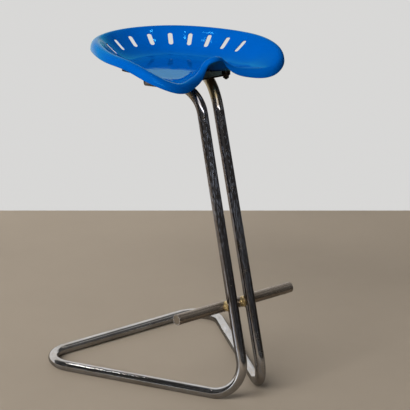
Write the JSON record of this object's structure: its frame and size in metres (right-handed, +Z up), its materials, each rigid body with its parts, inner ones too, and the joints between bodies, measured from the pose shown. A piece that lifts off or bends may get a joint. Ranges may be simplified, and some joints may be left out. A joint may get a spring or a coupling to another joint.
{
  "type": "tractor seat stool",
  "caption": "Pressed steel tractor seat with a slotted, rolled rim on a bent chromed tube frame with a triangular floor base and a straight footrest bar.",
  "frame": {"origin": "on the floor under the middle of the stool's plan", "axes": "+Z up, the seat's raised pommel and both uprights towards -Y, +X to one side; the plane x = 0 mirrors the stool"},
  "size_m": [0.506, 0.514, 0.7865],
  "materials": {
    "blue_enamel": "high-gloss cobalt blue enamel on pressed steel",
    "black_enamel": "dark glossy enamel",
    "chrome": "polished, a little pitted and browned with age",
    "steel": "plain satin steel",
    "brass": "brazing filler, dull and uneven",
    "black_plastic": "moulded black",
    "zinc": "bright zinc plate"
  },
  "bodies": {
    "root": {"seat_pan": "blue_enamel", "seat_plate": "black_enamel", "frame_tube": "chrome", "leg_plug_left": "black_plastic", "leg_plug_right": "black_plastic", "footrest_bar": "chrome", "footrest_cap_left": "steel", "footrest_cap_right": "steel", "braze_left": "brass", "braze_right": "brass", "plate_weld_left_outer": "black_enamel", "plate_weld_left_inner": "black_enamel", "plate_weld_right_outer": "black_enamel", "plate_weld_right_inner": "black_enamel", "stud_front_left": "zinc", "stud_front_right": "zinc", "stud_back_left": "zinc", "stud_back_right": "zinc", "spacer_front_left": "zinc", "spacer_front_right": "zinc", "spacer_back_left": "zinc", "spacer_back_right": "zinc", "washer_front_left": "zinc", "washer_front_right": "zinc", "washer_back_left": "zinc", "washer_back_right": "zinc", "nut_front_left": "zinc", "nut_front_right": "zinc", "nut_back_left": "zinc", "nut_back_right": "zinc"}
  },
  "joints": []
}
